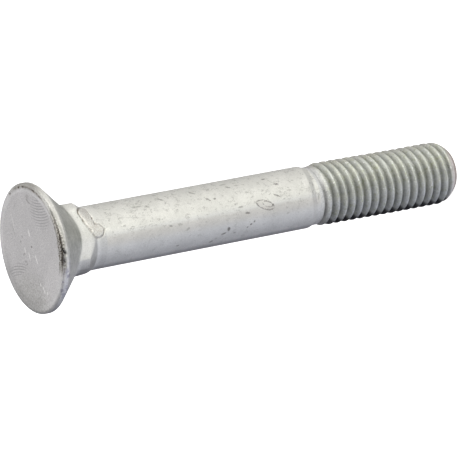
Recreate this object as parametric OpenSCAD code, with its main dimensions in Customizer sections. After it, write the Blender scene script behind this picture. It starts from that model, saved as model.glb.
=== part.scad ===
// Plow bolt: a countersunk flat head, a short square neck, a plain shank and a rolled thread.
// It stands on its point with the head up. The origin is the centre of the point, +Z is
// towards the head, and the flats of the neck face X and Y. Millimetres.

/* [Overall] */
// Length from the point to the flat of the head
length = 90; // [70:5:140]

/* [Head] */
// Diameter of the head
head_d = 24; // [20:0.5:28]
// Included angle of the countersunk seat
seat_angle = 90; // [82:1:100]
// Height of the straight band round the rim
rim_h = 1.2; // [0.8:0.1:2]
// Radius that rounds the rim onto the flat
rim_r = 0.5; // [0.2:0.05:0.6]

/* [Neck] */
// Width of the square neck across its flats
neck_w = 12; // [12:0.1:13]
// Diameter across the rounded corners of the neck
neck_corner_d = 15.2; // [14:0.1:16]
// Depth of the neck under the flat of the head, to where its corners meet the shank
neck_depth = 10.5; // [10:0.5:16]
// Angle to the axis at which the corners run out
neck_runout_angle = 36; // [30:1:50]

/* [Shank] */
// Diameter of the plain shank
shank_d = 11.75; // [11.5:0.05:11.9]

/* [Thread] */
// Diameter over the crests
thread_d = 11.9; // [11.7:0.05:12.2]
// Distance between neighbouring crests
pitch = 1.75; // [1.25:0.25:2]
// Threaded length from the point to the plain band
thread_l = 30.7; // [22:0.1:36]
// Diameter of the plain band between thread and shank, as wide as the rolled blank
band_d = 11.2; // [11:0.05:11.3]
// Length of the plain band
band_l = 1.6; // [0.8:0.1:3]
// Number of turns over which the thread fades out at the band
fade_turns = 0.9; // [0.5:0.1:2]

/* [Point] */
// Diameter of the flat end
point_d = 8.9; // [7:0.1:9.2]
// Length of the tapered point
point_l = 2.9; // [1.5:0.1:4]

/* [Hidden] */

steel = [0.70, 0.71, 0.70];

// The thread's form along one pitch: [share of the pitch, share of the depth]. The zinc rounds
// the crest and fills the root, so each has three points, and the flanks are straight.
thread_depth = 0.56 * pitch;
crest_half = 0.09;
root_half = 0.08;
round_share = 0.1;
form = [
    [-crest_half, round_share],
    [0, 0],
    [crest_half, round_share],
    [0.5 - root_half, 1 - round_share],
    [0.5, 1],
    [0.5 + root_half, 1 - round_share],
];
form_n = len(form);
// Angle of the first crest at the point
crest_start_angle = -50;
thread_sides = 36;
// The rows of the helix run on this far past the thread, and this far inside the plain band
run_on = 0.4 * pitch;
band_inset = 0.03;
// Rows of the helix, from more than a turn below the point to past the band
row_n = form_n * (ceil(thread_l / pitch) + 3);
// Rows closer to an end than this lie in it
end_tol = 0.02;

head_r = head_d / 2;
shank_r = shank_d / 2;
band_r = band_d / 2;
// Radial run of the seat for one millimetre of height
seat_slope = tan(seat_angle / 2);
seat_top_z = length - rim_h;
seat_bottom_z = seat_top_z - (head_r - shank_r) / seat_slope;
neck_bottom_z = length - neck_depth;
neck_slope = tan(neck_runout_angle);
band_bottom_z = thread_l + run_on;
shank_bottom_z = thread_l + band_l;
shoulder_h = shank_r - band_r;
// The neck and the thread reach this far into the shank, so that no faces coincide
sink = 1;

$fn = 96;

// Radius of the tapered point at a height
function point_radius(z) = point_d / 2 + z * (thread_d - point_d) / 2 / point_l;

// Share of the full thread left at a height, none at the band
function fade(z) = max(0, min(1, (thread_l - z) / (fade_turns * pitch)));

// Height of a row of the helix at a side, before the ends trim it
function row_z(i, j) =
    pitch * (floor(i / form_n) + form[i % form_n][0] + j / thread_sides - 2 - crest_start_angle / 360);

// Radius of the thread on a row, within the band's and the point's envelopes
function row_r(i, z) =
    let (
        base = band_r - band_inset,
        full = thread_d / 2 - thread_depth * form[i % form_n][1]
    )
    min(base + fade(z) * (full - base), point_radius(z));

function ring_point(r, z, j) =
    [r * cos(360 * j / thread_sides), r * sin(360 * j / thread_sides), z];

// Index of a point of the helix: a point trimmed by an end is the end ring's own point
function grid_index(i, j) =
    let (
        wrapped = j == thread_sides,
        row = wrapped ? i + form_n : i,
        side = wrapped ? 0 : j,
        z = row_z(row, side)
    )
    z < end_tol ? side
    : z > band_bottom_z - end_tol ? thread_sides + side
    : (2 + row) * thread_sides + side;

function is_triangle(t) = t[0] != t[1] && t[1] != t[2] && t[2] != t[0];

// Flat head with its straight rim and countersunk seat, and the shank with its plain band
module head_and_shank() {
    rotate_extrude() {
        polygon([
            [0, band_bottom_z],
            [band_r, band_bottom_z],
            [band_r, shank_bottom_z],
            [shank_r, shank_bottom_z + shoulder_h],
            [shank_r, seat_bottom_z],
            [head_r, seat_top_z],
            [head_r, length - rim_r],
            [head_r - rim_r, length - rim_r],
            [head_r - rim_r, length],
            [0, length],
        ]);
        translate([head_r - rim_r, length - rim_r]) circle(rim_r);
    }
}

// Square neck, its corners turned round and run out onto the shank
module neck() {
    corner_r = neck_corner_d / 2;
    runout_z = neck_bottom_z + (corner_r - shank_r) / neck_slope;
    sink_z = neck_bottom_z - sink / neck_slope;
    intersection() {
        translate([-neck_w / 2, -neck_w / 2, sink_z]) cube([neck_w, neck_w, seat_top_z - sink_z]);
        rotate_extrude()
            polygon([
                [0, sink_z],
                [shank_r - sink, sink_z],
                [corner_r, runout_z],
                [corner_r, seat_top_z],
                [0, seat_top_z],
            ]);
    }
}

// Rolled right-hand thread, one helical surface from the tapered point to its fade at the band
module thread() {
    sides = [0 : thread_sides - 1];
    rows = [0 : row_n - 1];
    ends = [
        for (j = sides) ring_point(point_d / 2, 0, j),
        for (j = sides) ring_point(band_r - band_inset, band_bottom_z + sink, j),
    ];
    helix = [
        for (i = [0 : row_n + form_n]) for (j = sides)
            let (z = row_z(i, j)) ring_point(row_r(i, z), z, j)
    ];
    flanks = [
        for (i = rows) for (j = sides)
            let (
                a = grid_index(i, j),
                b = grid_index(i + 1, j),
                c = grid_index(i + 1, j + 1),
                d = grid_index(i, j + 1)
            )
            for (t = [[a, b, c], [a, c, d]]) if (is_triangle(t)) t
    ];
    point_face = [for (j = sides) j];
    inner_face = [for (j = sides) 2 * thread_sides - 1 - j];
    polyhedron(points = concat(ends, helix), faces = concat(flanks, [point_face, inner_face]));
}

module bolt() {
    color(steel)
    union() {
        head_and_shank();
        neck();
        thread();
    }
}

bolt();
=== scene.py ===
"""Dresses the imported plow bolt: one galvanised, forged and thread-rolled bolt on its point.

The blank (head, neck, shank and band) is built ring by ring. A Geometry Nodes tree rolls the
thread onto it, gives the zinc its uneven skin and leans the threaded end. Sizes are given in
millimetres and meshes made in metres, in the part's frame: the origin is the centre of the point,
+Z is towards the head, and the flats of the neck face X and Y.
"""

import logging
import math
from dataclasses import dataclass, field, replace
from enum import Enum
from typing import Any, Callable, ClassVar, Iterator, Union

import bpy
import numpy as np
from mathutils import Matrix, Vector


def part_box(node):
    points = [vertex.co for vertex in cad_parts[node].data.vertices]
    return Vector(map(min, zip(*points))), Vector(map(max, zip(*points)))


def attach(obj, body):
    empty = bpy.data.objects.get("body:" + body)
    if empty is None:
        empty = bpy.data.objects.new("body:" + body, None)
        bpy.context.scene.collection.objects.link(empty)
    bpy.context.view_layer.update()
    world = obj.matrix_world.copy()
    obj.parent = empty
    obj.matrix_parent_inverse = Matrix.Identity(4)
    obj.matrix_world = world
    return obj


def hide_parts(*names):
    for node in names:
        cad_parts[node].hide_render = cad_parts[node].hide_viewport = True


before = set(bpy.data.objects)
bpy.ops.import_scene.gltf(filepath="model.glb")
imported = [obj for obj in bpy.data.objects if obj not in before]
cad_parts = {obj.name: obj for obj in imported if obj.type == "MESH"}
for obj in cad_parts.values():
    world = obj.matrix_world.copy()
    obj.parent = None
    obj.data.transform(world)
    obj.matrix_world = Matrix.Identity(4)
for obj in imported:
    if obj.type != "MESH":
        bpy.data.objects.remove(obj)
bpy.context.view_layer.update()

LOG = logging.getLogger("plow_bolt")
MM = 0.001
NODE = "bolt"
PIECE = "galvanised_bolt"
# Azimuths, in degrees, of the side that gets the most light and of one that gets little
SUNNY = -45.0
SHADY = 180.0

Array = np.ndarray
Colour = tuple[float, float, float]
# A range between two ends, such as where a smooth step starts and where it is full
Span = tuple[float, float]


class Zone(Enum):
    """The point attributes that carry a finish from the mesh to its material."""

    GRIME = "grime"
    SOOT = "soot"
    LAP = "lap"
    ROOT = "root"


# ---------------------------------------------------------------- node trees


def operator(operation: str) -> Callable[["Value", "Term"], "Value"]:
    """Makes the method of a Value for one of Python's operators.

    Args:
        operation: the operation of the Math node that the method adds.

    Returns:
        The method.
    """

    def method(self: "Value", other: "Term") -> "Value":
        """Adds the Math node on this value and the other."""
        return self.math(operation, other)

    return method


class Value:
    """A number or vector that varies over a surface: one output socket of a node tree."""

    def __init__(self, graph: "Graph", socket: bpy.types.NodeSocket) -> None:
        """Keeps the tree and the socket."""
        self.graph = graph
        self.socket = socket

    def compare(self, least: float) -> "Value":
        """True where the value is at least so much."""
        settings = {"data_type": "FLOAT", "operation": "GREATER_EQUAL"}
        return self.graph.node("FunctionNodeCompare", settings, {0: self, 1: least})

    def math(self, operation: str, *others: "Term") -> "Value":
        """Adds one Math node on this value.

        Args:
            operation: the Math node's operation.
            others: its second and third operands.

        Returns:
            The node's result.
        """
        inputs = dict(enumerate((self, *others)))
        return self.graph.node("ShaderNodeMath", {"operation": operation}, inputs)

    __add__ = __radd__ = operator("ADD")
    __mul__ = __rmul__ = operator("MULTIPLY")
    __sub__ = operator("SUBTRACT")
    __truediv__ = operator("DIVIDE")
    __pow__ = operator("POWER")

    def __rsub__(self, other: float) -> "Value":
        """other - self"""
        return self.graph.constant(other) - self

    def bump(self, half: float) -> "Value":
        """1 at 0, falling smoothly to 0 at twice the half width on either side."""
        return self.math("ABSOLUTE").smooth(2.0 * half, 0.0)

    def clipped(self) -> "Value":
        """The value, held between 0 and 1."""
        return self.math("MAXIMUM", 0.0).math("MINIMUM", 1.0)

    def dot(self, other: tuple[float, ...]) -> "Value":
        """The dot product of this vector and a fixed one."""
        settings = {"operation": "DOT_PRODUCT"}
        return self.graph.node("ShaderNodeVectorMath", settings, {0: self, 1: other}, "Value")

    def smooth(self, low: float, high: float, top: float = 1.0) -> "Value":
        """A smooth step between two ends.

        Args:
            low: the end where it is 0, which may be above the other.
            high: the end where it is full.
            top: how much full is.

        Returns:
            The step at each place.
        """
        ends = (0.0, top) if low <= high else (top, 0.0)
        inputs = {
            "Value": self,
            "From Min": min(low, high),
            "From Max": max(low, high),
            "To Min": ends[0],
            "To Max": ends[1],
        }
        return self.graph.node("ShaderNodeMapRange", {"interpolation_type": "SMOOTHSTEP"}, inputs)


Term = Union[Value, float, int, tuple]
Given = dict[str, Value]


class Graph:
    """Adds nodes to a shader or Geometry Nodes tree."""

    def __init__(self, tree: bpy.types.NodeTree) -> None:
        """Keeps the tree."""
        self.tree = tree

    def node(
        self,
        kind: str,
        settings: dict[str, Any] | None = None,
        inputs: dict[Any, Term] | None = None,
        output: int | str = 0,
    ) -> Value:
        """Adds any node.

        Args:
            kind: the node's type.
            settings: its own properties, set before its sockets.
            inputs: values or links of its sockets, by name or index.
            output: the socket to return, by name or index.

        Returns:
            That output socket.
        """
        node = self.tree.nodes.new(kind)
        for name, value in (settings or {}).items():
            setattr(node, name, value)
        for name, value in (inputs or {}).items():
            if isinstance(value, Value):
                self.tree.links.new(value.socket, node.inputs[name])
            else:
                node.inputs[name].default_value = value
        return Value(self, node.outputs[output]) if node.outputs else Value(self, None)

    def finish(self, surface: dict[str, Term]) -> None:
        """Ends a material with a Principled surface of these inputs."""
        shader = self.node("ShaderNodeBsdfPrincipled", None, surface)
        self.node("ShaderNodeOutputMaterial", None, {"Surface": shader})

    def constant(self, value: float) -> Value:
        """A Value node that holds one number."""
        value_node = self.tree.nodes.new("ShaderNodeValue")
        value_node.outputs[0].default_value = value
        return Value(self, value_node.outputs[0])

    def split(self, vector: Value) -> tuple[Value, Value, Value]:
        """The x, y and z of a vector."""
        node = self.tree.nodes.new("ShaderNodeSeparateXYZ")
        self.tree.links.new(vector.socket, node.inputs[0])
        return tuple(Value(self, socket) for socket in node.outputs)

    def join(self, x: Term, y: Term, z: Term) -> Value:
        """A vector from its x, y and z."""
        return self.node("ShaderNodeCombineXYZ", None, {0: x, 1: y, 2: z})

    def scaled(self, vector: Value, factor: Term) -> Value:
        """A vector times a number."""
        inputs = {0: vector, "Scale": factor}
        return self.node("ShaderNodeVectorMath", {"operation": "SCALE"}, inputs)

    def total(self, first: Value, second: Value) -> Value:
        """The sum of two vectors or colours."""
        return self.node("ShaderNodeVectorMath", {"operation": "ADD"}, {0: first, 1: second})

    def noise(self, vector: Value, scale: Term, detail: float = 2.0, rough: float = 0.5) -> Value:
        """Noise from 0 to 1 over a vector.

        Args:
            vector: where it is read.
            scale: cells to a unit of the vector.
            detail: octaves.
            rough: share that each octave keeps of the one before.

        Returns:
            The noise.
        """
        inputs = {"Vector": vector, "Scale": scale, "Detail": detail, "Roughness": rough}
        return self.node("ShaderNodeTexNoise", {"noise_dimensions": "3D"}, inputs, "Fac")

    def blend(self, share: Term, first: Term, second: Term) -> Value:
        """Blends two colours.

        Args:
            share: share of the second, from 0 to 1.
            first: the colour at 0.
            second: the colour at 1.

        Returns:
            The colour between them.
        """
        node = self.tree.nodes.new("ShaderNodeMix")
        node.data_type = "RGBA"
        for index, value in ((0, share), (6, first), (7, second)):
            if isinstance(value, Value):
                self.tree.links.new(value.socket, node.inputs[index])
            elif index == 0:
                node.inputs[index].default_value = value
            else:
                node.inputs[index].default_value = (*value, 1.0)
        return Value(self, node.outputs[2])


# ---------------------------------------------------------------- the blank


def place_object(name: str, data: bpy.types.ID) -> bpy.types.Object:
    """Makes an object of a mesh or a camera and puts it into the scene."""
    made = bpy.data.objects.new(name, data)
    bpy.context.scene.collection.objects.link(made)
    return made


def smooth_max(first: Array, second: Array, width: float) -> Array:
    """The larger of two, with the edge between them rounded over a width."""
    return 0.5 * (first + second + np.sqrt((first - second) ** 2 + width**2))


def smooth_min(first: Array, second: Array, width: float) -> Array:
    """The smaller of two, with the edge between them rounded over a width."""
    return -smooth_max(-first, -second, width)


def bump(distance: Array, half: float) -> Array:
    """1 at no distance, falling smoothly to 0 at about twice the half width."""
    return np.exp(-((distance / half) ** 2))


def step(value: Array, low: float, high: float) -> Array:
    """0 below low, 1 above high and smooth between."""
    share = np.clip((value - low) / (high - low), 0.0, 1.0)
    return share * share * (3.0 - 2.0 * share)


@dataclass(frozen=True)
class Stretch:
    """A stretch of azimuths, in degrees: none before the start and past the end, full between."""

    start: float
    full: float
    fading: float
    end: float

    def share(self, azimuth: Array) -> Array:
        """Share of the stretch at each angle."""
        return step(azimuth, self.start, self.full) * (1 - step(azimuth, self.fading, self.end))


def waviness(azimuth: Array, seed: float, waves: tuple[int, ...]) -> Array:
    """An uneven wave round the bolt, from -1 to 1, which is always the same for the same seed.

    Args:
        azimuth: angles round the axis, in degrees.
        seed: shifts the waves.
        waves: how many of each wave go round.

    Returns:
        The wave at each angle.
    """
    turn = np.radians(azimuth)
    total = sum(np.sin(n * turn + seed * (k + 1.7) * 2.3) for k, n in enumerate(waves))
    return total / len(waves)


@dataclass
class Head:
    """The flat countersunk head, its worn rim and the top of its seat. Millimetres, degrees."""

    radius: float = 11.99
    face_radius: float = 11.3
    round_depth: float = 0.42
    land_depth: float = 1.18
    seat_slope: float = 1.0
    face_rings: int = 16
    fine_from: float = 10.2
    fine_pitch: float = 0.1
    round_rings: int = 10
    # Flaws of the rim lie at a length along the surface from the axis, two also at an azimuth
    worn_along: Stretch = Stretch(-136, -122, -80, -64)
    fold_at: float = 10.72
    fold_depth: float = 0.14
    seam_at: float = 11.68
    seam_depth: float = 0.3
    # The seam lies further in up to the first of these azimuths, and is deep between the others
    seam_shift: float = 0.2
    shift_end: Span = (-122.0, -102.0)
    deep_start: Span = (-126.0, -114.0)
    deep_end: Span = (-98.0, -74.0)
    lip_at: float = 11.2
    lip_height: float = 0.08
    cut_at: tuple[float, float] = (-106.6, 12.12)
    cut_lean: float = 3.8
    cut_depth: float = 0.45
    dent_at: tuple[float, float] = (-115.5, 12.25)
    dent_depth: float = 0.16
    uneven_from: Span = (11.2, 11.8)
    unevenness: float = 0.05
    pits_along: Stretch = Stretch(-54, -48, 8, 24)
    pits_depth: float = 0.09
    rim_mm_per_degree: float = 0.21

    def profile(self) -> Array:
        """The rings of the face, its rounded edge and the land.

        Returns:
            Rows of (length along the surface from the axis, radius, depth under the face).
        """
        pitch = self.fine_pitch
        flat = [
            *np.linspace(0, self.fine_from, self.face_rings + 1)[1:],
            *np.arange(self.fine_from + pitch, self.face_radius, pitch),
        ]
        rows = [(u, u, 0.0) for u in flat]
        run = self.radius - self.face_radius
        edge = [
            (self.face_radius + run * math.sin(t), self.round_depth * (1 - math.cos(t)))
            for t in np.linspace(0, math.pi / 2, self.round_rings)
        ]
        land = np.arange(self.round_depth + pitch, self.land_depth, pitch)
        edge += [(self.radius, depth) for depth in land]
        length, last = self.face_radius, edge[0]
        for radius, depth in edge:
            length += math.hypot(radius - last[0], depth - last[1])
            rows.append((length, radius, depth))
            last = (radius, depth)
        return np.array(rows)

    def seat_radius(self, depth: float) -> float:
        """Radius of the seat at a depth under the face."""
        return self.radius - (depth - self.land_depth) * self.seat_slope

    def relief(self, azimuth: Array, u: Array) -> tuple[Array, Array, Array]:
        """Flaws of the rim.

        Args:
            azimuth: angles round the axis, in degrees, one for each side.
            u: length along the surface from the axis.

        Returns:
            Height off the surface, brown grime and black soot at each side.
        """
        worn = self.worn_along.share(azimuth)
        ragged = waviness(azimuth + 30 * u, 1.0, (31, 47, 73))
        crumbled = np.clip(0.5 + 0.9 * waviness(azimuth - 24 * u, 3.0, (41, 67, 89)), 0, 1)
        # The folded edge of the face and the open seam beside it
        fold_at = self.fold_at + 0.05 * ragged
        shift = self.seam_shift * (1 - step(azimuth, *self.shift_end))
        seam_at = self.seam_at + 0.06 * ragged - shift
        fold = bump(u - fold_at, 0.11) * worn * crumbled
        deep = (1 - step(azimuth, *self.deep_end)) * (0.35 + 0.65 * step(azimuth, *self.deep_start))
        seam = bump(u - seam_at, 0.15) * worn * (0.35 + 0.65 * deep) * (0.75 + 0.25 * ragged)
        lip = bump(u - self.lip_at, 0.3) * worn * (0.5 + 0.5 * ragged)
        # A cut that leans across the land and a dent below it
        cut_turn = azimuth - self.cut_at[0] + (u - self.cut_at[1]) * self.cut_lean
        cut = bump(cut_turn * self.rim_mm_per_degree, 0.3) * bump(u - self.cut_at[1], 0.5)
        dent_turn = azimuth - self.dent_at[0]
        dent = bump(dent_turn * self.rim_mm_per_degree, 0.8) * bump(u - self.dent_at[1], 0.28)
        # Pits along the edge of the face beyond the worn part
        pits = bump(u - self.lip_at, 0.18) * self.pits_along.share(azimuth)
        pits *= np.clip(1.8 * waviness(azimuth, 4.0, (23, 37, 53)), 0, 1)
        uneven = waviness(azimuth + 9 * u, 2.0, (13, 22, 37)) * step(u, *self.uneven_from) * worn
        height = self.lip_height * lip + self.unevenness * uneven - self.fold_depth * fold
        height -= self.seam_depth * seam + self.cut_depth * cut
        height -= self.dent_depth * dent + self.pits_depth * pits
        grime = np.clip(0.75 * fold + 0.9 * seam + 0.8 * pits, 0, 1)
        soot = np.clip(1.5 * cut + 0.35 * dent + 0.45 * seam * deep, 0, 1)
        return height, grime, soot


@dataclass
class Neck:
    """The short square neck, its corners turned round and run out. Millimetres."""

    half_widths: tuple[float, ...] = (6.27, 6.0, 6.25, 6.0)
    corner_radius: float = 7.6
    runout_depth: float = 10.5
    runout_slope: float = math.tan(math.radians(36))
    # One corner runs out longer than the others
    long_corner: float = 135.0
    long_depth: float = 11.9
    long_slope: float = 0.19
    # Where it blends with its neighbours, as the cosine of the angle to it
    long_blend: Span = (0.75, 0.9)
    edge: float = 0.14
    fillet: float = 0.22

    def radius(self, azimuth: Array, depth: float, shank: Array, seat: float) -> Array:
        """Radius of the neck with the seat above it and the shank below it.

        Args:
            azimuth: angles round the axis, in degrees.
            depth: depth under the face.
            shank: radius of the shank at each angle.
            seat: radius of the seat at that depth.

        Returns:
            The radius at each angle.
        """
        square = np.full_like(azimuth, self.corner_radius + 1.0)
        for index, half in enumerate(self.half_widths):
            facing = np.cos(np.radians(azimuth - 90.0 * index))
            square = np.minimum(square, half / np.maximum(facing, 0.5))
        # The corners run out onto the shank, one of them further down than the others
        long = step(np.cos(np.radians(azimuth - self.long_corner)), *self.long_blend)
        short_run = (self.runout_depth - depth) * self.runout_slope
        long_run = (self.long_depth - depth) * self.long_slope
        runout = shank + short_run + (long_run - short_run) * long
        body = smooth_min(square, np.minimum(self.corner_radius, runout), self.edge)
        body = smooth_max(body, shank, self.edge)
        return smooth_max(body, np.full_like(azimuth, seat), self.fillet)


@dataclass
class Lap:
    """A tongue of steel folded over the edge of the neck: a strip with a round end.

    It starts at a corner of the neck and runs round over the flat to the shank. Millimetres.
    """

    start: float = -39.0
    radius: float = 6.0
    slant: float = 0.84
    top: float = 8.05
    bend: float = 2.0
    bend_slope: float = 0.47
    lower: float = 10.8
    strip_end: float = 5.0
    knob_at: tuple[float, float] = (5.25, 10.95)
    knob_radius: float = 1.4
    root_run: float = 1.5
    groove: float = 0.11
    groove_depth: float = 0.17
    # How far along the tongue its groove is worn away, and by what share
    groove_worn: Span = (2.4, 4.4)
    worn_share: float = 0.62
    edge: Span = (-0.3, 0.0)
    wobble: float = 0.11
    rise: float = 0.03
    softness: float = 0.75

    def along(self, azimuth: Array) -> Array:
        """Length along the tongue."""
        return np.radians(self.start - azimuth) * self.radius

    def outline(self, azimuth: Array, depth: float) -> Array:
        """The tongue's outline.

        Args:
            azimuth: angles round the axis, in degrees.
            depth: depth under the face.

        Returns:
            Distance from the outline at each angle, below 0 inside it.
        """
        run = self.along(azimuth)
        wobble = self.wobble * waviness(azimuth + 11 * depth, 5.0, (29, 43, 61))
        upper = self.top + self.bend_slope * np.maximum(run - self.bend, 0.0) - depth
        start = self.root_run - self.slant * (depth - self.top)
        root = (start - run) / math.hypot(1.0, self.slant)
        ends = np.maximum(root, run - self.strip_end)
        strip = np.maximum(np.maximum(upper, depth - self.lower), ends)
        knob = np.hypot(run - self.knob_at[0], depth - self.knob_at[1]) - self.knob_radius
        return np.maximum(np.minimum(strip, knob), upper) + wobble

    def relief(self, azimuth: Array, depth: float) -> tuple[Array, Array, Array]:
        """The tongue's form.

        Args:
            azimuth: angles round the axis, in degrees.
            depth: depth under the face.

        Returns:
            Height off the neck, grime of the groove and share of the tongue at each angle.
        """
        distance = self.outline(azimuth, depth)
        worn_away = 1 - self.worn_share * step(self.along(azimuth), *self.groove_worn)
        broken = np.clip(0.65 + 0.8 * waviness(azimuth - 19 * depth, 7.0, (19, 34, 57)), 0, 1)
        groove = np.minimum(1.9 * bump(distance, self.groove) * worn_away * broken, 1.0)
        inside = 1 - step(distance, *self.edge)
        rough = waviness(azimuth + 37 * depth, 6.0, (53, 71, 97))
        height = inside * self.rise * (1 + rough) - self.groove_depth * groove
        return height, groove, inside


@dataclass
class Shank:
    """The plain shank, its shoulder and the plain band. Millimetres, depths under the face."""

    radius: float = 5.87
    shoulder_depth: float = 57.15
    shoulder_drift: float = 0.9
    drift_rate: float = 1.25
    shoulder_azimuth: float = -98.0
    shoulder_half: float = 0.55
    band_radius: float = 5.5
    band_end_depth: float = 58.6

    def radius_at(self, azimuth: Array, depth: float) -> Array:
        """Radius of the shank, the shoulder or the band.

        Args:
            azimuth: angles round the axis, in degrees.
            depth: depth under the face.

        Returns:
            The radius at each angle.
        """
        # The shoulder is nearest to the head at one azimuth and lies further down away from it
        apart = np.abs((azimuth - self.shoulder_azimuth + 180.0) % 360.0 - 180.0)
        drift = 1 - np.cos(np.radians(np.minimum(self.drift_rate * apart, 90.0)))
        middle = self.shoulder_depth + self.shoulder_drift * drift
        share = np.clip(0.5 + 0.5 * (depth - middle) / self.shoulder_half, 0.0, 1.0)
        return self.radius + (self.band_radius - self.radius) * share


@dataclass
class Blank:
    """Head, neck, shank and band as one open shell, ready for the thread."""

    length: float
    sides: int = 320
    neck_end: float = 12.5
    head: Head = field(default_factory=Head)
    neck: Neck = field(default_factory=Neck)
    lap: Lap = field(default_factory=Lap)
    shank: Shank = field(default_factory=Shank)

    def depths(self) -> Array:
        """Depths of the rings below the land.

        Returns:
            The depths, close together where the shape turns.
        """
        land, band = self.head.land_depth + 0.12, self.shank.band_end_depth - 0.08
        shoulder = self.shank.shoulder_depth - 0.7
        # Start, end and spacing of the rings of the seat, the neck, the tongue and the shank
        spans = (
            (land, 5.0, 0.36),
            (5.0, 7.6, 0.16),
            (7.6, 12.4, 0.12),
            (12.6, shoulder, 1.4),
            (shoulder, band, 0.12),
        )
        return np.concatenate([np.arange(*span) for span in spans])

    def build(self) -> bpy.types.Object:
        """Makes the shell.

        Returns:
            An object with the zones as point attributes.
        """
        azimuth = np.arange(self.sides) * 360.0 / self.sides
        azimuth = np.where(azimuth > 180.0, azimuth - 360.0, azimuth)
        rings: list[Array] = []
        zones: dict[Zone, list[Array]] = {zone: [] for zone in Zone}
        for ring, flaws in (*self.head_rings(azimuth), *self.lower_rings(azimuth)):
            rings.append(ring)
            for zone, values in zones.items():
                values.append(flaws.get(zone, np.zeros(self.sides)))
        return self.mesh(rings, zones)

    def head_rings(self, azimuth: Array) -> Iterator[tuple[Array, dict[Zone, Array]]]:
        """The rings of the face and the land.

        Args:
            azimuth: angles round the axis, in degrees.

        Yields:
            Each ring's points and flaws.
        """
        profile = self.head.profile()
        for index, (u, radius, depth) in enumerate(profile):
            ahead = profile[min(index + 1, len(profile) - 1)] - profile[max(index - 1, 0)]
            along = np.array([ahead[1], ahead[2]]) / math.hypot(ahead[1], ahead[2])
            height, grime, soot = self.head.relief(azimuth, np.full(self.sides, u))
            height = np.minimum(height, 0.0)
            ring = self.ring(azimuth, radius + height * along[1], depth - height * along[0])
            yield ring, {Zone.GRIME: grime, Zone.SOOT: soot}

    def lower_rings(self, azimuth: Array) -> Iterator[tuple[Array, dict[Zone, Array]]]:
        """The rings of the seat, the neck, the shank and the band.

        Args:
            azimuth: angles round the axis, in degrees.

        Yields:
            Each ring's points and flaws.
        """
        for depth in self.depths():
            radii, flaws = self.shank.radius_at(azimuth, depth), {}
            if depth < self.neck_end:
                given = (azimuth, depth, radii, self.head.seat_radius(depth))
                radii = self.neck.radius(*given)
                # The tongue bridges the neck's edges
                bridged = replace(self.neck, edge=self.lap.softness).radius(*given)
                height, groove, inside = self.lap.relief(azimuth, depth)
                radii = radii + (bridged - radii) * inside + height
                flaws = {Zone.GRIME: groove, Zone.LAP: inside}
            yield self.ring(azimuth, radii, depth), flaws

    def ring(self, azimuth: Array, radii: Array, depths: Array | float) -> Array:
        """Points of one ring, in metres."""
        turn = np.radians(azimuth)
        z = np.broadcast_to(self.length - depths, turn.shape)
        return np.column_stack([np.cos(turn) * radii, np.sin(turn) * radii, z]) * MM

    def mesh(self, rings: list[Array], zones: dict[Zone, list[Array]]) -> bpy.types.Object:
        """Joins the rings, with one more at the end of the band that has half as many sides.

        Args:
            rings: points of each ring, from the centre of the face outwards and down.
            zones: the zones' values at the same points.

        Returns:
            The shell as an object.
        """
        half = self.sides // 2
        spokes = rings[-1][::2, :2]
        spokes = spokes / np.linalg.norm(spokes, axis=1)[:, None] * self.shank.band_radius * MM
        end = np.full(half, (self.length - self.shank.band_end_depth) * MM)
        centre = np.array([[0.0, 0.0, self.length * MM]])
        points = np.concatenate([centre, *rings, np.column_stack([spokes, end])])
        mesh = bpy.data.meshes.new("blank")
        mesh.from_pydata(points.tolist(), [], self.faces(len(rings)))
        for zone, values in zones.items():
            layer = mesh.attributes.new(zone.value, "FLOAT", "POINT")
            flat = np.concatenate([[0.0], *values, np.zeros(half)]).astype(np.float32)
            layer.data.foreach_set("value", flat)
        return place_object("blank", mesh)

    def faces(self, ring_count: int) -> list[tuple[int, ...]]:
        """Faces of the shell: a fan at the centre, quads, and triangles down to the last ring.

        Args:
            ring_count: how many rings have the full number of sides.

        Returns:
            The faces, as the numbers of their points.
        """
        n, half = self.sides, self.sides // 2
        faces: list[tuple[int, ...]] = [(0, 1 + j, 1 + (j + 1) % n) for j in range(n)]
        for i in range(ring_count - 1):
            a, b = 1 + i * n, 1 + (i + 1) * n
            faces += [(a + j, b + j, b + (j + 1) % n, a + (j + 1) % n) for j in range(n)]
        a, b = 1 + (ring_count - 1) * n, 1 + ring_count * n
        for j in range(half):
            left, middle, right = a + 2 * j, a + 2 * j + 1, a + (2 * j + 2) % n
            low, next_low = b + j, b + (j + 1) % half
            faces += [(left, low, middle), (middle, low, next_low), (middle, next_low, right)]
        return faces


# ---------------------------------------------------------------- the thread


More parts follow.
